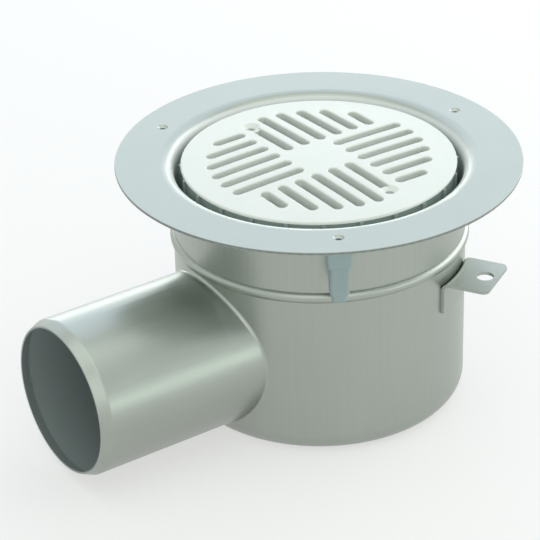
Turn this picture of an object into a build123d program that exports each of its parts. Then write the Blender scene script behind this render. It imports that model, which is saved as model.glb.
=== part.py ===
from build123d import *
import os
from math import radians, sqrt, tan

# Floor gully of stainless sheet with a side outlet, a moulded grating and a lift-out water trap.
# Millimetres. The origin is on the bowl's axis at its flat floor, +Z is up, +X leaves the outlet.

# Drawn bowl
body_od = 203.0
bowl_sheet = 1.5
knuckle_radius = 15.0       # outside bend from the wall to the floor
bead_height = 7.8
bead_proud = 2.5            # how far the rolled bead stands out of the wall
weld_land = 1.0             # straight edge above the bead, to which the neck is butt welded

# Outlet
pipe_od = 110.0
pipe_wall = 1.5
outlet_invert = 6.25        # underside of the pipe above the bowl's floor
outlet_projection = 113.0   # mouth of the pipe from the bowl's wall
collar_length = 8.0         # collar pulled out of the bowl, to which the pipe is butt welded
collar_fillet = 2.5         # outside, where the collar leaves the wall
collar_draft = 1.5          # degrees by which the pulled collar narrows towards the pipe
swage_length = 7.1
swage_depth = 3.1           # how far the swage draws the pipe's radius in
swage_blend = 4.0

# Flange and neck
bead_gap = 2.95             # from the top of the pipe to the bead
neck_height = 50.0          # from the weld to the floor face
flange_width = 38.5         # from the bowl's wall to the rim
flange_sheet = 2.0
flange_bend = 10.0          # radius of the bend that shows from above
flange_rim_round = 0.5
screw_inset = 20.0          # centre of a screw hole from the rim
screw_hole = 4.5
screw_sink = 7.5
screw_count = 3
screw_phase = 60.0

# Screw plug under each hole of the flange
plug_head_width = 17.4      # at the flange
plug_head_low_width = 16.0
plug_head_length = 17.0
plug_width = 12.8
plug_length = 43.0
plug_tip_width = 10.0
plug_tip_length = 3.0       # straight part of the tip
plug_tip_slope = 2.6        # height of the slope from the shank to the tip
plug_round = 2.2
plug_bore_play = 0.1        # radial, to the hole in the flange

# Fixing lugs
lug_angles = (120.0, 240.0)
lug_sheet = 2.2
lug_width = 42.2
lug_reach = 31.0            # end of the tab from the bowl's wall
lug_drop = 9.4              # top of the tab below the bead
lug_leg = 23.0              # height of the leg below the tab's top
lug_bend = 5.5              # outside radius of the bend
lug_corner = 4.5
lug_hole = 12.0
lug_hole_inset = 9.5        # hole's centre from the end of the tab

# Grating
grating_gap = 4.5           # between its rim and the neck
grating_recess = 2.1        # rim below the floor face
grating_rim = 1.6           # height of the rim
grating_crown = 2.1         # rise from the rim to the middle
grating_edge = 1.3          # rounding of the rim's top
grating_skirt = 5.0         # height of the skirt inside the clamp ring
skirt_wall = 3.0
slot_width = 7.1
slot_pitch = 13.95
slot_first = -9.0           # side offset of a group's first slot from the middle
slot_start = 23.5           # inner end of the slots from the middle
slot_border = 21.0          # outer end of the slots from the rim
slot_shortest = 12.0
slot_round = 1.0            # rounding of the slots' top edges
slot_groups = 4
core_border = 2.4           # plastic left between the slots and the hollow under the border
seat_distance = 68.3        # screw seat along its slot
seat_diameter = 12.6
seat_depth = 2.6
seat_wall = 1.0             # boss around the seat
seat_lip = 1.2              # top of the boss below the grating's face, where the slot runs into it
seat_hole = 5.6

# Clamp ring in the neck
ring_inset = 1.0            # ring's wall behind the grating's rim
ring_wall = 2.5
rib_count = 24
rib_width = 2.8
rib_depth = 2.0             # how far the ribs stand out of the ring's wall
rib_phase = -4.0
rib_drop = 0.3              # top of the ribs below the top of the ring
foot_height = 9.0
ledge_width = 7.5
ledge_height = 3.0

# Lift-out trap
trap_rim_width = 6.0
trap_rim_height = 8.0
trap_wall = 2.5
trap_shelf = 7.0            # level part of the funnel inside its rim
dip_bore = 76.0
dip_lip = 3.0               # lip that the dip tube hangs by
funnel_drop = 8.0
cup_bore = 127.0
cup_foot_gap = 16.5         # cup's underside above the bowl's floor
dip_gap = 12.0              # end of the dip tube above the cup's floor
overflow_gap = 18.0         # cup's rim below the funnel
cup_lip = 2.0
cup_lip_height = 4.0
cup_round = 6.0
arm_count = 3
arm_width = 8.0
arm_phase = 60.0
arm_thickness = 2.7         # outside the cup's lip
arm_depth = 12.0            # from its outer face inwards
arm_catch = 3.0
bar_rise = 20.0
bar_thickness = 3.0
bar_width = 10.0
bar_tongue = 1.2            # ends of the bar in the rim's pockets
seal_section = 3.4

# Clearances
seat_clearance = 0.2        # fits of moulded pieces
seal_clearance = 0.1        # seals in their grooves

# Derived sizes
body_r = body_od / 2
pipe_r = pipe_od / 2
outlet_z = outlet_invert + pipe_r
collar_x = body_r + collar_length
mouth_x = body_r + outlet_projection
bead_low = outlet_z + pipe_r + bead_gap
bead_z = bead_low + bead_height / 2
weld_z = bead_low + bead_height + weld_land
bead_arc = (bead_height**2 / 4 + bead_proud**2) / (2 * bead_proud)
bead_axis_r = body_r + bead_proud - bead_arc
groove_arc = bead_arc - bowl_sheet
floor_z = weld_z + neck_height
flange_r = body_r + flange_width
neck_bore_r = body_r - flange_sheet
screw_r = flange_r - screw_inset
screw_angles = [screw_phase + 360 / screw_count * i for i in range(screw_count)]
plug_top = floor_z - flange_sheet
lug_top = bead_low - lug_drop
lug_end = body_r + lug_reach
grating_r = neck_bore_r - grating_gap
grating_top = floor_z - grating_recess
ring_top = grating_top - grating_rim
ring_r = grating_r - ring_inset
ring_bore_r = ring_r - ring_wall
skirt_r = ring_bore_r - seat_clearance
skirt_low = ring_top - grating_skirt
rib_r = ring_r + rib_depth
foot_r = neck_bore_r - seat_clearance
foot_low = bead_z - foot_height / 2
ledge_top = foot_low + ledge_height
ledge_bore_r = ring_bore_r - ledge_width
trap_r = ring_bore_r - seat_clearance
rim_bore_r = trap_r - trap_rim_width
shelf_z = ledge_top + trap_wall
slope_r = ledge_bore_r - seat_clearance
dip_r = dip_bore / 2
throat_r = dip_r + trap_wall + seat_clearance
lip_seat_r = throat_r + dip_lip
funnel_low = ledge_top - funnel_drop
cup_floor = bowl_sheet + cup_foot_gap + trap_wall
cup_rim = funnel_low - overflow_gap
cup_r = cup_bore / 2 + trap_wall
dip_low = cup_floor + dip_gap
seal_z = ledge_top + trap_rim_height / 2


def turned(section):
    """Solid of revolution about Z of a half section drawn in radius and height."""
    return revolve(Plane.XZ * section, axis=Axis.Z)


def outlined(*curves):
    """Face inside a closed run of lines and arcs."""
    return make_face(ShapeList([edge for curve in curves for edge in curve.edges()]))


def ring_of(inner, outer, low, high):
    """Plain ring, or a disc when the inner radius is zero."""
    profile = Polyline((inner, low), (outer, low), (outer, high), (inner, high), close=True)
    return turned(outlined(profile))


def collar_form(inset, end):
    """Tapered bar from the bowl's axis to a place along the outlet, as wide as the pipe at the weld."""
    draft = tan(radians(collar_draft))
    end_r = pipe_r - inset - draft * (end - collar_x)
    bar = Cone(end_r + draft * end, end_r, end, align=(Align.CENTER, Align.CENTER, Align.MIN))
    return Pos(0, 0, outlet_z) * Rot(0, 90, 0) * bar


def bowl_form(inset, top, collar_end):
    """Bowl with its collar as a full body: the outside, or the inside when inset by the sheet."""
    wall = body_r - inset
    corner = knuckle_radius - inset
    arc = bead_arc - inset
    half = sqrt(arc**2 - (wall - bead_axis_r) ** 2)
    floor = Line((0, inset), (wall - corner, inset))
    knuckle = JernArc((wall - corner, inset), (1, 0), corner, 90)
    side = Line((wall, inset + corner), (wall, bead_z - half))
    bead = ThreePointArc((wall, bead_z - half), (bead_axis_r + arc, bead_z), (wall, bead_z + half))
    rim = Polyline((wall, bead_z + half), (wall, top), (0, top), (0, inset))
    drum = turned(outlined(floor, knuckle, side, bead, rim))
    stub = collar_form(inset, collar_end)
    joined = drum + stub
    saddle = new_edges(drum, stub, combined=joined)
    return fillet(saddle, collar_fillet + inset)


def make_bowl():
    outside = bowl_form(0, weld_z, collar_x)
    inside = bowl_form(bowl_sheet, weld_z + bowl_sheet, collar_x + bowl_sheet)
    return outside - inside


def make_outlet_pipe():
    """Tube from the weld at the collar to a mouth that is swaged in."""
    bend_x = mouth_x - swage_length
    outer = outlet_z + pipe_r
    inner = outer - pipe_wall
    section = outlined(Polyline(
        (collar_x, outer), (bend_x, outer), (mouth_x, outer - swage_depth),
        (mouth_x, inner - swage_depth), (bend_x, inner), (collar_x, inner), close=True,
    ))
    bends = section.vertices().filter_by_position(Axis.X, bend_x - pipe_wall, bend_x + pipe_wall)
    section = fillet(bends, swage_blend)
    return revolve(Plane.XZ * section, axis=Axis((0, 0, outlet_z), (1, 0, 0)))


def make_floor_flange():
    """Flat ring bent down into the neck, with countersunk screw holes."""
    under = floor_z - flange_sheet
    shoulder = neck_bore_r + flange_bend
    top = Line((flange_r, floor_z), (shoulder, floor_z))
    bend = JernArc((shoulder, floor_z), (-1, 0), flange_bend, 90)
    bore = Line((neck_bore_r, floor_z - flange_bend), (neck_bore_r, weld_z))
    foot = Line((neck_bore_r, weld_z), (body_r, weld_z))
    wall = Line((body_r, weld_z), (body_r, floor_z - flange_bend))
    inner_bend = JernArc((body_r, floor_z - flange_bend), (0, 1), flange_bend - flange_sheet, -90)
    rim = Polyline((shoulder, under), (flange_r, under), (flange_r, floor_z))
    section = outlined(top, bend, bore, foot, wall, inner_bend, rim)
    rim_corners = section.vertices().sort_by(Axis.X)[-2:]
    flange = turned(fillet(rim_corners, flange_rim_round))
    hole = CounterSinkHole(screw_hole / 2, screw_sink / 2, flange_sheet, 90)
    for angle in screw_angles:
        flange -= Rot(0, 0, angle) * Pos(screw_r, 0, floor_z) * hole
    return flange


def make_screw_plug(angle):
    """Moulded plug that hangs from the flange: a tapered head, a square shank and a narrow tip."""
    def square(width, z):
        return Pos(0, 0, z) * RectangleRounded(width, width, plug_round)

    head_z = plug_top - plug_head_length
    low_z = plug_top - plug_length
    tip_z = low_z + plug_tip_length
    shank_z = tip_z + plug_tip_slope
    head = loft([square(plug_head_width, plug_top), square(plug_head_low_width, head_z)])
    shank = extrude(square(plug_width, shank_z), head_z - shank_z)
    slope = loft([square(plug_width, shank_z), square(plug_tip_width, tip_z)])
    tip = extrude(square(plug_tip_width, low_z), plug_tip_length)
    bore = Pos(0, 0, low_z) * Cylinder(
        screw_hole / 2 + plug_bore_play, plug_length, align=(Align.CENTER, Align.CENTER, Align.MIN)
    )
    return Rot(0, 0, angle) * Pos(screw_r, 0, 0) * (head + shank + slope + tip - bore)


def make_fixing_lug(angle):
    """Sheet bracket: a leg curved to the bowl's wall, bent out into a flat tab with one hole."""
    tab_under = lug_top - lug_sheet
    bend_r = body_r + lug_bend
    beyond = lug_end + lug_reach
    leg_low = lug_top - lug_leg
    leg_in = Line((body_r, leg_low), (body_r, lug_top - lug_bend))
    bend_out = JernArc((body_r, lug_top - lug_bend), (0, 1), lug_bend, -90)
    tab = Polyline((bend_r, lug_top), (beyond, lug_top), (beyond, tab_under), (bend_r, tab_under))
    bend_in = JernArc((bend_r, tab_under), (-1, 0), lug_bend - lug_sheet, 90)
    leg_out = Polyline(
        (body_r + lug_sheet, lug_top - lug_bend), (body_r + lug_sheet, leg_low), (body_r, leg_low)
    )
    form = turned(outlined(leg_in, bend_out, tab, bend_in, leg_out))
    blank = Pos(lug_end - body_r / 2, 0) * RectangleRounded(body_r, lug_width, lug_corner)
    blank -= Pos(lug_end - lug_hole_inset, 0) * Circle(lug_hole / 2)
    blank = extrude(Pos(0, 0, leg_low) * blank, lug_leg)
    return Rot(0, 0, angle) * (form & blank)


def slot_ends(offset):
    """Distance of a slot's inner and outer end centres from the middle line."""
    reach = (grating_r - slot_border) ** 2 - offset**2
    return slot_start, sqrt(max(reach, 0))


def slot_offsets():
    """Side offsets of the slots of one group, as many as the round field holds."""
    shortest = slot_start + slot_shortest
    widest = sqrt((grating_r - slot_border) ** 2 - shortest**2)
    count = int((widest - slot_first) / slot_pitch) + 1
    return [slot_first + slot_pitch * i for i in range(count)]


def make_grating():
    """Crowned disc with a skirt: four groups of parallel slots in a pinwheel and two screw seats."""
    crown_top = grating_top + grating_crown
    sphere_r = (grating_r**2 + grating_crown**2) / (2 * grating_crown)
    half_drop = sphere_r - sqrt(sphere_r**2 - grating_r**2 / 4)
    field_r = grating_r - slot_border + slot_width / 2
    crown = ThreePointArc(
        (0, crown_top), (grating_r / 2, crown_top - half_drop), (grating_r, grating_top)
    )
    outline = Polyline(
        (grating_r, grating_top), (grating_r, ring_top), (skirt_r, ring_top),
        (skirt_r, skirt_low), (0, skirt_low), (0, crown_top),
    )
    section = outlined(crown, outline)
    rim_corner = section.vertices().sort_by(Axis.X)[-2:].sort_by(Axis.Y)[-1]
    plate = turned(fillet(rim_corner, grating_edge))
    plate -= ring_of(field_r + core_border, skirt_r - skirt_wall, skirt_low, ring_top)

    field = Sketch()
    for group in range(slot_groups):
        for index, offset in enumerate(slot_offsets()):
            start, end = slot_ends(offset)
            if index == 0 and group % 2 == 0:
                end = seat_distance
            slot = SlotCenterToCenter(end - start, slot_width, rotation=90)
            field += Rot(0, 0, 90 * group) * Pos(offset, (start + end) / 2) * slot
    plate -= extrude(Pos(0, 0, skirt_low) * field, crown_top - skirt_low)
    top = plate.faces().filter_by(GeomType.SPHERE).sort_by(Axis.Z)[-1]
    slot_rims = ShapeList([edge for wire in top.inner_wires() for edge in wire.edges()])
    plate = fillet(slot_rims, slot_round)

    seat_r = sqrt(seat_distance**2 + slot_first**2)
    seat_top = crown_top - sphere_r + sqrt(sphere_r**2 - seat_r**2)
    seat_spread = seat_diameter - seat_hole
    low = (Align.CENTER, Align.CENTER, Align.MIN)
    boss = Cylinder(seat_diameter / 2 + seat_wall, seat_top - seat_lip - skirt_low, align=low)
    sink = Cone(seat_hole / 2, seat_hole / 2 + seat_spread, 2 * seat_depth, align=low)
    hole = Cylinder(seat_hole / 2, crown_top - skirt_low, align=low)
    for turn in range(2):
        at = Rot(0, 0, 180 * turn) * Pos(slot_first, seat_distance, 0)
        plate += at * Pos(0, 0, skirt_low) * boss
        plate -= at * Pos(0, 0, seat_top - seat_depth) * sink
        plate -= at * Pos(0, 0, skirt_low) * hole
    return plate


def make_clamp_ring():
    """Ribbed ring that carries the grating and the trap, with a foot that fits the neck."""
    foot_top = foot_low + foot_height
    ring = ring_of(ring_bore_r, ring_r, foot_low, ring_top)
    ring += ring_of(ring_bore_r, foot_r, foot_low, foot_top)
    ring += ring_of(ledge_bore_r, ring_bore_r, foot_low, ledge_top)
    rib_high = ring_top - rib_drop
    root_r = ring_r - ring_wall / 2
    bar = Pos(root_r, 0, foot_top) * Box(
        2 * (rib_r - root_r), rib_width, rib_high - foot_top, align=(Align.MIN, Align.CENTER, Align.MIN)
    )
    rib = bar & ring_of(root_r, rib_r, foot_top, rib_high)
    ring += [Rot(0, 0, rib_phase + 360 / rib_count * i) * rib for i in range(rib_count)]
    return ring - Pos(0, 0, bead_z) * Torus(bead_axis_r, groove_arc)


def make_body_seal():
    """Rubber ring between the bead's groove and the clamp ring's foot."""
    return Pos(0, 0, bead_z) * Torus(bead_axis_r, groove_arc - seal_clearance)


def make_trap_inlet():
    """Funnel with a sealed rim, a seat for the dip tube, hooks for the cup and pockets for the bar."""
    seat_z = funnel_low + trap_wall
    section = Polyline(
        (throat_r, funnel_low), (slope_r, ledge_top), (trap_r, ledge_top),
        (trap_r, ledge_top + trap_rim_height), (rim_bore_r, ledge_top + trap_rim_height),
        (rim_bore_r, shelf_z), (rim_bore_r - trap_shelf, shelf_z),
        (lip_seat_r + trap_wall, seat_z + trap_wall), (lip_seat_r, seat_z + trap_wall),
        (lip_seat_r, seat_z), (throat_r, seat_z), close=True,
    )
    inlet = turned(outlined(section))
    groove_r = ring_bore_r - seal_section - 2 * seal_clearance
    groove_half = seal_section / 2 + seal_clearance
    inlet -= ring_of(groove_r, trap_r + seal_section, seal_z - groove_half, seal_z + groove_half)
    pocket_r = rim_bore_r + bar_tongue + seat_clearance
    inlet -= Pos(0, 0, shelf_z) * Box(
        2 * pocket_r, bar_width + 2 * seat_clearance, bar_thickness + seat_clearance,
        align=(Align.CENTER, Align.CENTER, Align.MIN),
    )

    lip_r = cup_r + cup_lip + seat_clearance
    arm_r = lip_r + arm_thickness
    rest_z = cup_rim + seat_clearance
    catch_z = cup_rim - cup_lip_height - seat_clearance
    catch_r = cup_r + seat_clearance
    slope = (ledge_top - funnel_low) / (slope_r - throat_r)
    inner_r = arm_r - arm_depth
    arm = Polyline(
        (inner_r, rest_z), (lip_r, rest_z), (lip_r, catch_z), (catch_r, catch_z),
        (catch_r, catch_z - arm_catch), (arm_r, catch_z - arm_catch),
        (arm_r, funnel_low + slope * (arm_r - throat_r) + trap_wall / 2),
        (inner_r, funnel_low + slope * (inner_r - throat_r) + trap_wall / 2), close=True,
    )
    blade = extrude(Plane.XZ * outlined(arm), arm_width / 2, both=True)
    for i in range(arm_count):
        inlet += Rot(0, 0, arm_phase + 360 / arm_count * i) * blade
    return inlet


def make_dip_tube():
    """Tube that hangs by its lip in the funnel and dips into the cup's water."""
    tube_r = dip_r + trap_wall
    lip_low = funnel_low + trap_wall
    lip_high = lip_low + trap_wall
    section = Polyline(
        (dip_r, dip_low), (tube_r, dip_low), (tube_r, lip_low), (tube_r + dip_lip, lip_low),
        (tube_r + dip_lip, lip_high), (dip_r, lip_high), close=True,
    )
    return turned(outlined(section))


def make_lift_bar():
    """Flat strap arched over the funnel, with its ends in the pockets of the rim."""
    end = rim_bore_r + bar_tongue
    spring = rim_bore_r - trap_shelf
    low = shelf_z
    high = low + bar_thickness
    under = ThreePointArc((-spring, low), (0, low + bar_rise), (spring, low))
    right = Polyline((spring, low), (end, low), (end, high), (spring, high))
    over = ThreePointArc((spring, high), (0, high + bar_rise), (-spring, high))
    left = Polyline((-spring, high), (-end, high), (-end, low), (-spring, low))
    return extrude(Plane.XZ * outlined(under, right, over, left), bar_width / 2, both=True)


def make_trap_seal():
    """Rubber ring in the groove of the trap's rim."""
    return Pos(0, 0, seal_z) * Torus(ring_bore_r - seal_clearance - seal_section / 2, seal_section / 2)


def make_trap_cup():
    """Cup that holds the water seal around the dip tube and hangs from the hooks by its lip."""
    base = cup_floor - trap_wall
    bore_r = cup_r - trap_wall
    lip_r = cup_r + cup_lip
    lip_low = cup_rim - cup_lip_height
    outer = Line((0, base), (cup_r - cup_round, base))
    outer_round = JernArc((cup_r - cup_round, base), (1, 0), cup_round, 90)
    wall = Polyline(
        (cup_r, base + cup_round), (cup_r, lip_low), (lip_r, lip_low), (lip_r, cup_rim),
        (bore_r, cup_rim), (bore_r, base + cup_round),
    )
    inner_round = JernArc((bore_r, base + cup_round), (0, -1), cup_round - trap_wall, -90)
    inside = Polyline((cup_r - cup_round, cup_floor), (0, cup_floor), (0, base))
    return turned(outlined(outer, outer_round, wall, inner_round, inside))


nodes = {
    "bowl": make_bowl(),
    "outlet_pipe": make_outlet_pipe(),
    "floor_flange": make_floor_flange(),
    "grating": make_grating(),
    "clamp_ring": make_clamp_ring(),
    "body_seal": make_body_seal(),
    "trap_inlet": make_trap_inlet(),
    "dip_tube": make_dip_tube(),
    "lift_bar": make_lift_bar(),
    "trap_seal": make_trap_seal(),
    "trap_cup": make_trap_cup(),
}
for number, angle in enumerate(screw_angles, start=1):
    nodes[f"screw_plug_{number}"] = make_screw_plug(angle)
for number, angle in enumerate(lug_angles, start=1):
    nodes[f"fixing_lug_{number}"] = make_fixing_lug(angle)

os.makedirs("parts", exist_ok=True)
for name, solid in nodes.items():
    export_step(solid, f"parts/{name}.step")
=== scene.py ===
import math

import bpy
import numpy as np
from mathutils import Matrix, Vector


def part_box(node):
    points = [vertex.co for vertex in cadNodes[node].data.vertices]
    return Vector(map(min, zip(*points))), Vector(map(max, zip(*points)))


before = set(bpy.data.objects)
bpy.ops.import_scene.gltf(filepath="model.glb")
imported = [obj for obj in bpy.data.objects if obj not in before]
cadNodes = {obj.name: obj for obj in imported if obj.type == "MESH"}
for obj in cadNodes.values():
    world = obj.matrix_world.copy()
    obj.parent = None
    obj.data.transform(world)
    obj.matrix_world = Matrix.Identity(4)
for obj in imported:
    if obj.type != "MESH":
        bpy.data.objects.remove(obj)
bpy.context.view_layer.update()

# Stainless floor gully on a white studio floor, seen from the outlet's side.
mm = 0.001
print("frame loaded,", len(cadNodes), "nodes")


# One sRGB hex colour as linear RGBA: below 0.04045 divide by 12.92, above it the 2.4 power curve.
def hexToLinear(code):
    srgb = np.array([int(code[i:i + 2], 16) for i in (1, 3, 5)]) / 255
    linear = np.where(srgb > 0.04045, ((srgb + 0.055) / 1.055) ** 2.4, srgb / 12.92)
    return (*linear.tolist(), 1.0)


# One node with its settings, socket values and links.
def addNode(tree, kind, settings=(), sockets=(), links=()):
    node = tree.nodes.new(kind)
    for key, value in dict(settings).items():
        setattr(node, key, value)
    for key, value in dict(sockets).items():
        node.inputs[key].default_value = value
    for key, source in dict(links).items():
        tree.links.new(source, node.inputs[key])
    return node


# An empty material with its tree.
def startMaterial(name):
    material = bpy.data.materials.new(name)
    material.use_nodes = True
    material.node_tree.nodes.clear()
    return material, material.node_tree


# Puts the shader on the material's surface.
def endMaterial(tree, shader):
    addNode(tree, "ShaderNodeOutputMaterial", links={"Surface": shader.outputs[0]})


# Pickled stainless sheet: a soft satin sheen with faint clouds from the acid, streaks along the draw
# and a fine grain. Real grain is finer, it is drawn coarser so that it shows.
steelFinish = dict(
    pale="#acb2ab", deep="#a0a69f",
    cloudSize=45 * mm, cloudDetail=3.0,
    streakSize=2.5 * mm, streakDetail=3.0, streakStretch=0.04, streakShare=0.5,
    grainSize=1.6 * mm, grainDetail=2.0, grainHeight=0.02 * mm, grainStrength=0.35,
    sheenFrom=(0.3, 0.7), sheen=(0.31, 0.37),
)


# Colour, roughness and normal of bare steel: cloud and streak noise, mixed by a share, set tone and sheen,
# and the grain noise is a bump.
def drawSteel(tree, place):
    finish = steelFinish
    drawn = addNode(tree, "ShaderNodeMapping", sockets={"Scale": (1, 1, finish["streakStretch"])},
                    links={"Vector": place})
    cloud = addNode(tree, "ShaderNodeTexNoise",
                    sockets={"Scale": 1 / finish["cloudSize"], "Detail": finish["cloudDetail"]},
                    links={"Vector": place})
    streak = addNode(tree, "ShaderNodeTexNoise",
                     sockets={"Scale": 1 / finish["streakSize"], "Detail": finish["streakDetail"]},
                     links={"Vector": drawn.outputs[0]})
    grain = addNode(tree, "ShaderNodeTexNoise",
                    sockets={"Scale": 1 / finish["grainSize"], "Detail": finish["grainDetail"]},
                    links={"Vector": place})
    patch = addNode(tree, "ShaderNodeMix", sockets={0: finish["streakShare"]},
                    links={2: cloud.outputs[0], 3: streak.outputs[0]})
    tone = addNode(tree, "ShaderNodeMix", {"data_type": "RGBA"},
                   {6: hexToLinear(finish["deep"]), 7: hexToLinear(finish["pale"])},
                   {0: patch.outputs[0]})
    fromLow, fromHigh = finish["sheenFrom"]
    low, high = finish["sheen"]
    sheen = addNode(tree, "ShaderNodeMapRange", sockets={1: fromLow, 2: fromHigh, 3: low, 4: high},
                    links={0: patch.outputs[0]})
    bump = addNode(tree, "ShaderNodeBump",
                   sockets={"Strength": finish["grainStrength"], "Distance": finish["grainHeight"]},
                   links={"Height": grain.outputs[0]})
    return tone.outputs[2], sheen.outputs[0], bump.outputs[0]


# One on bare steel and zero on the matt skin, a patch whose colour is painted light and shade laid over the steel.
# Skin is where the distance from the axis plus a shift along it is under a limit, and where a point is both under a
# level and farther out than a start.
def bareSteel(tree, along, radius, skin):
    soft = skin["soft"]
    shifted = addNode(tree, "ShaderNodeMapRange",
                      sockets={1: skin["shiftStart"], 2: skin["shiftEnd"], 3: 0.0, 4: skin["shift"]},
                      links={0: along})
    reach = addNode(tree, "ShaderNodeMath", {"operation": "ADD"}, links={0: radius, 1: shifted.outputs[0]})
    bare = addNode(tree, "ShaderNodeMapRange", sockets={1: skin["limit"] - soft, 2: skin["limit"] + soft},
                   links={0: reach.outputs[0]})
    if "underLevel" in skin:
        level, start = skin["underLevel"], skin["underStart"]
        above = addNode(tree, "ShaderNodeMapRange", sockets={1: level, 2: level + soft}, links={0: along})
        near = addNode(tree, "ShaderNodeMapRange", sockets={1: start, 2: start + soft, 3: 1.0, 4: 0.0},
                       links={0: radius})
        clear = addNode(tree, "ShaderNodeMath", {"operation": "MAXIMUM"},
                        links={0: above.outputs[0], 1: near.outputs[0]})
        bare = addNode(tree, "ShaderNodeMath", {"operation": "MINIMUM"},
                       links={0: bare.outputs[0], 1: clear.outputs[0]})
    return bare.outputs[0]


# Steel for one piece. A piece with a matt skin of painted light and shade may also have a darker rim of painted
# shade, where the distance from the skin's axis comes close to a limit.
def makeSteel(name, skin=None, rim=None):
    material, tree = startMaterial(name)
    place = addNode(tree, "ShaderNodeTexCoord").outputs["Object"]
    if skin:
        place = addNode(tree, "ShaderNodeMapping", {"vector_type": "TEXTURE"},
                        {"Location": skin["centre"], "Rotation": skin["turn"]}, {"Vector": place}).outputs[0]
    colour, roughness, normal = drawSteel(tree, place)
    shader = addNode(tree, "ShaderNodeBsdfPrincipled", sockets={"Metallic": 1.0})
    if skin:
        parts = addNode(tree, "ShaderNodeSeparateXYZ", links={0: place})
        flat = addNode(tree, "ShaderNodeCombineXYZ", links={0: parts.outputs[0], 1: parts.outputs[1]})
        radius = addNode(tree, "ShaderNodeVectorMath", {"operation": "LENGTH"},
                         links={0: flat.outputs[0]}).outputs["Value"]
        bare = bareSteel(tree, parts.outputs[2], radius, skin)
        # The skin's colour is painted light and shade laid over the steel.
        roughness = addNode(tree, "ShaderNodeMix", sockets={2: skin["roughness"]},
                            links={0: bare, 3: roughness}).outputs[0]
        colour = addNode(tree, "ShaderNodeMix", {"data_type": "RGBA"}, {6: hexToLinear(skin["colour"])},
                         {0: bare, 7: colour}).outputs[2]
        tree.links.new(bare, shader.inputs["Metallic"])
        if rim:
            # The darker rim colour is painted shade on the flange's outer edge face.
            cut = addNode(tree, "ShaderNodeMapRange", sockets={1: rim["limit"] - rim["soft"], 2: rim["limit"]},
                          links={0: radius})
            colour = addNode(tree, "ShaderNodeMix", {"data_type": "RGBA"}, {7: hexToLinear(rim["colour"])},
                             {0: cut.outputs[0], 6: colour}).outputs[2]
    for key, source in (("Base Color", colour), ("Roughness", roughness), ("Normal", normal)):
        tree.links.new(source, shader.inputs[key])
    endMaterial(tree, shader)
    return material


# Injection-moulded plastic: an even colour with a slight flow cloud and the fine spark texture of the tool,
# which is drawn coarser than it is so that it shows.
mouldings = {
    "white polypropylene, moulded": dict(pale="#ebefe9", deep="#e4e9e2", roughness=0.42, textureSize=1.5 * mm),
    "grey polyamide, moulded": dict(pale="#97aaaa", deep="#8ea1a2", roughness=0.48, textureSize=1.5 * mm),
    "dark polypropylene, moulded": dict(pale="#98a7a2", deep="#8f9e99", roughness=0.5, textureSize=1.5 * mm),
    "EPDM rubber, moulded": dict(pale="#2a2c2c", deep="#232525", roughness=0.7, textureSize=2.0 * mm),
}
mouldTool = dict(cloudSize=30 * mm, detail=2.0, textureHeight=0.03 * mm, textureStrength=0.3, ior=1.49)


# Cloud noise sets the tone, and the tool's texture noise is a bump.
def makeMoulding(name):
    finish = mouldings[name]
    material, tree = startMaterial(name)
    place = addNode(tree, "ShaderNodeTexCoord").outputs["Object"]
    cloud = addNode(tree, "ShaderNodeTexNoise",
                    sockets={"Scale": 1 / mouldTool["cloudSize"], "Detail": mouldTool["detail"]},
                    links={"Vector": place})
    spark = addNode(tree, "ShaderNodeTexNoise",
                    sockets={"Scale": 1 / finish["textureSize"], "Detail": mouldTool["detail"]},
                    links={"Vector": place})
    tone = addNode(tree, "ShaderNodeMix", {"data_type": "RGBA"},
                   {6: hexToLinear(finish["deep"]), 7: hexToLinear(finish["pale"])},
                   {0: cloud.outputs[0]})
    bump = addNode(tree, "ShaderNodeBump",
                   sockets={"Strength": mouldTool["textureStrength"], "Distance": mouldTool["textureHeight"]},
                   links={"Height": spark.outputs[0]})
    shader = addNode(tree, "ShaderNodeBsdfPrincipled",
                     sockets={"Roughness": finish["roughness"], "IOR": mouldTool["ior"]},
                     links={"Base Color": tone.outputs[2], "Normal": bump.outputs[0]})
    endMaterial(tree, shader)
    return material


# The outlet pipe is matt inside and painted darker as painted shade, up to the middle of its wall, which the swage
# draws inwards at the mouth.
pipeLow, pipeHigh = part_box("outlet_pipe")
pipeForm = dict(wall=1.5 * mm, swageLength=7.1 * mm, swageDepth=3.1 * mm)
pipeSkin = dict(
    centre=(0, 0, (pipeLow.z + pipeHigh.z) / 2), turn=(0, math.radians(90), 0),
    limit=(pipeHigh.z - pipeLow.z) / 2 - pipeForm["wall"] / 2, soft=0.1 * mm,
    shiftStart=pipeHigh.x - pipeForm["swageLength"], shiftEnd=pipeHigh.x, shift=pipeForm["swageDepth"],
    # The darker colour here is painted shade inside the pipe.
    roughness=0.62, colour="#8f9a99",
)
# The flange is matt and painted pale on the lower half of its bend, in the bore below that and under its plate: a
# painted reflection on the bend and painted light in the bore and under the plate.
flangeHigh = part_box("floor_flange")[1]
flangeSkin = dict(
    centre=(0, 0, 0), turn=(0, 0, 0), limit=100.5 * mm, soft=1.0 * mm,
    shiftStart=flangeHigh.z - 11 * mm, shiftEnd=flangeHigh.z - 9 * mm, shift=-2 * mm,
    underLevel=flangeHigh.z - 1.6 * mm, underStart=106 * mm,
    # The pale colour here is painted light: a painted reflection on the bend and painted light in the bore and
    # under the plate.
    roughness=0.5, colour="#e9eeea",
)
# The flange's outer edge face is painted darker as painted shade.
flangeRim = dict(limit=flangeHigh.x, soft=0.4 * mm, colour="#7d837f")

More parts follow.
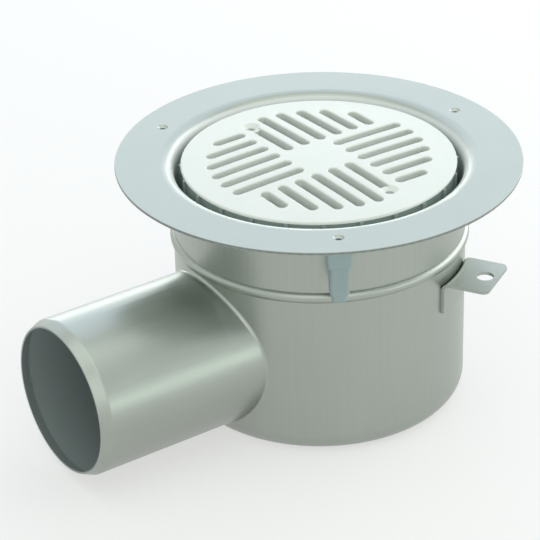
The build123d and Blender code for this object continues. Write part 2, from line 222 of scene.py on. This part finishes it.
sheetSteel = makeSteel("stainless sheet, pickled")
pipeSteel = makeSteel("stainless tube, pickled, painted shade inside", pipeSkin)
flangeSteel = makeSteel("stainless sheet, drawn and pickled, painted light and shade", flangeSkin, flangeRim)
whitePlastic, greyPlastic, darkPlastic, rubber = [makeMoulding(name) for name in mouldings]
dressOf = dict(
    bowl=sheetSteel, fixing_lug_1=sheetSteel, fixing_lug_2=sheetSteel,
    outlet_pipe=pipeSteel, floor_flange=flangeSteel,
    screw_plug_1=greyPlastic, screw_plug_2=greyPlastic, screw_plug_3=greyPlastic,
    grating=whitePlastic, clamp_ring=darkPlastic, trap_inlet=darkPlastic,
    dip_tube=darkPlastic, lift_bar=darkPlastic, trap_cup=darkPlastic,
    body_seal=rubber, trap_seal=rubber,
)
for name, node in cadNodes.items():
    node.data.materials.clear()
    node.data.materials.append(dressOf[name])
print("materials on", len(cadNodes), "nodes")


# The camera turns about a point above the gully's foot and looks slightly down.
view = dict(
    azimuth=145.45, elevation=28.85, roll=-1.36, distance=1720.97 * mm,
    pan=-35.21 * mm, rise=3.07 * mm, target=(0, 0, 85 * mm), lens=162.9, sensor=36.0,
)
turn, tilt, lean = (math.radians(view[key]) for key in ("azimuth", "elevation", "roll"))
back = Vector((math.sin(turn) * math.cos(tilt), -math.cos(turn) * math.cos(tilt), math.sin(tilt)))
right = Vector((math.cos(turn), math.sin(turn), 0))
up = back.cross(right)
cameraX = math.cos(lean) * right + math.sin(lean) * up
cameraY = math.cos(lean) * up - math.sin(lean) * right
stand = Vector(view["target"]) + view["pan"] * cameraX + view["rise"] * cameraY + view["distance"] * back

cameraData = bpy.data.cameras.new("camera")
cameraData.lens = view["lens"]
cameraData.sensor_width = view["sensor"]
camera = bpy.data.objects.new("camera", cameraData)
camera.matrix_world = Matrix((
    (cameraX.x, cameraY.x, back.x, stand.x),
    (cameraX.y, cameraY.y, back.y, stand.y),
    (cameraX.z, cameraY.z, back.z, stand.z),
    (0, 0, 0, 1),
))
bpy.context.scene.collection.objects.link(camera)
bpy.context.scene.camera = camera


# One for a ray of the camera, a mirror or glass: the largest of the three flags of the light path.
def seenBackground(tree):
    rays = addNode(tree, "ShaderNodeLightPath")
    mirrored = addNode(tree, "ShaderNodeMath", {"operation": "MAXIMUM"},
                       links={0: rays.outputs["Is Camera Ray"], 1: rays.outputs["Is Glossy Ray"]})
    seen = addNode(tree, "ShaderNodeMath", {"operation": "MAXIMUM"},
                   links={0: mirrored.outputs[0], 1: rays.outputs["Is Transmission Ray"]})
    return seen.outputs[0]


# A flat pale floor of matt vinyl, which shows no gloss. The camera, mirrors and glass see a share of it plain
# white, and no diffuse surface gets light from that.
stage = dict(size=12.0, colour="#f4f4f2", roughness=0.9, gloss=0.0, white="#ffffff", whiteGlow=1.0, whiteShare=0.55)
half = stage["size"] / 2
floorMesh = bpy.data.meshes.new("studio floor")
floorCorners = [(-half, -half, 0), (half, -half, 0), (half, half, 0), (-half, half, 0)]
floorMesh.from_pydata(floorCorners, [], [(0, 1, 2, 3)])
floor = bpy.data.objects.new("studio floor", floorMesh)
bpy.context.scene.collection.objects.link(floor)
floorPaint, floorTree = startMaterial("white studio vinyl, matt")
floorShader = addNode(floorTree, "ShaderNodeBsdfPrincipled",
                      sockets={"Base Color": hexToLinear(stage["colour"]), "Roughness": stage["roughness"],
                               "Specular IOR Level": stage["gloss"]})
share = addNode(floorTree, "ShaderNodeMath", {"operation": "MULTIPLY"}, {1: stage["whiteShare"]},
                {0: seenBackground(floorTree)})
white = addNode(floorTree, "ShaderNodeEmission",
                sockets={"Color": hexToLinear(stage["white"]), "Strength": stage["whiteGlow"]})
floorMix = addNode(floorTree, "ShaderNodeMixShader",
                   links={0: share.outputs[0], 1: floorShader.outputs[0], 2: white.outputs[0]})
endMaterial(floorTree, floorMix)
floorMesh.materials.append(floorPaint)


# Softboxes round the gully, turned from straight behind it towards the camera's right and raised in degrees.
# Brightness is what a mirror sees of the box on top of the white room, so power is that times pi and its area.
softboxes = {
    "back softbox": dict(turn=2, rise=41, away=2.2, width=3.4, height=1.7, bright=0.7, colour="#cadeff"),
    "back strip": dict(turn=8, rise=8, away=2.2, width=3.2, height=0.6, bright=2.6, colour="#fafdff"),
    "key softbox": dict(turn=64, rise=19, away=1.9, width=2.0, height=1.1, bright=1.8, colour="#ffffff"),
    "right strip": dict(turn=116, rise=2, away=2.2, width=1.6, height=0.4, bright=1.65, colour="#f0fff6"),
    "top softbox": dict(turn=178, rise=78, away=2.2, width=2.6, height=1.8, bright=0.55, colour="#f8fff8"),
    "front softbox": dict(turn=178, rise=26, away=2.4, width=2.6, height=1.6, bright=0.5, colour="#fffff4"),
}
aimHeight = 100 * mm
aim = Vector((0, 0, aimHeight))
towards = Vector((back.x, back.y, 0)).normalized()
for name, box in softboxes.items():
    lampData = bpy.data.lights.new(name, "AREA")
    lampData.shape = "RECTANGLE"
    lampData.size, lampData.size_y = box["width"], box["height"]
    lampData.energy = box["bright"] * math.pi * box["width"] * box["height"]
    lampData.color = hexToLinear(box["colour"])[:3]
    lamp = bpy.data.objects.new(name, lampData)
    bearing, rise = math.radians(box["turn"]), math.radians(box["rise"])
    level = math.sin(bearing) * right - math.cos(bearing) * towards
    lamp.location = aim + box["away"] * (math.cos(rise) * level + math.sin(rise) * Vector((0, 0, 1)))
    lamp.rotation_euler = (aim - lamp.location).to_track_quat("-Z", "Y").to_euler()
    bpy.context.scene.collection.objects.link(lamp)

# The room lights the gully softly, and is white to the camera and in the steel.
surround = dict(colour="#f9fdfb", strength=0.66, shown=1.0)
world = bpy.data.worlds.new("studio")
world.use_nodes = True
roomTree = world.node_tree
roomTree.nodes.clear()
roomStrength = addNode(roomTree, "ShaderNodeMapRange", sockets={3: surround["strength"], 4: surround["shown"]},
                       links={0: seenBackground(roomTree)})
glow = addNode(roomTree, "ShaderNodeBackground", sockets={"Color": hexToLinear(surround["colour"])},
               links={"Strength": roomStrength.outputs[0]})
addNode(roomTree, "ShaderNodeOutputWorld", links={"Surface": glow.outputs[0]})
bpy.context.scene.world = world
bpy.context.scene.view_settings.view_transform = "Standard"
print("camera, floor and lights set")
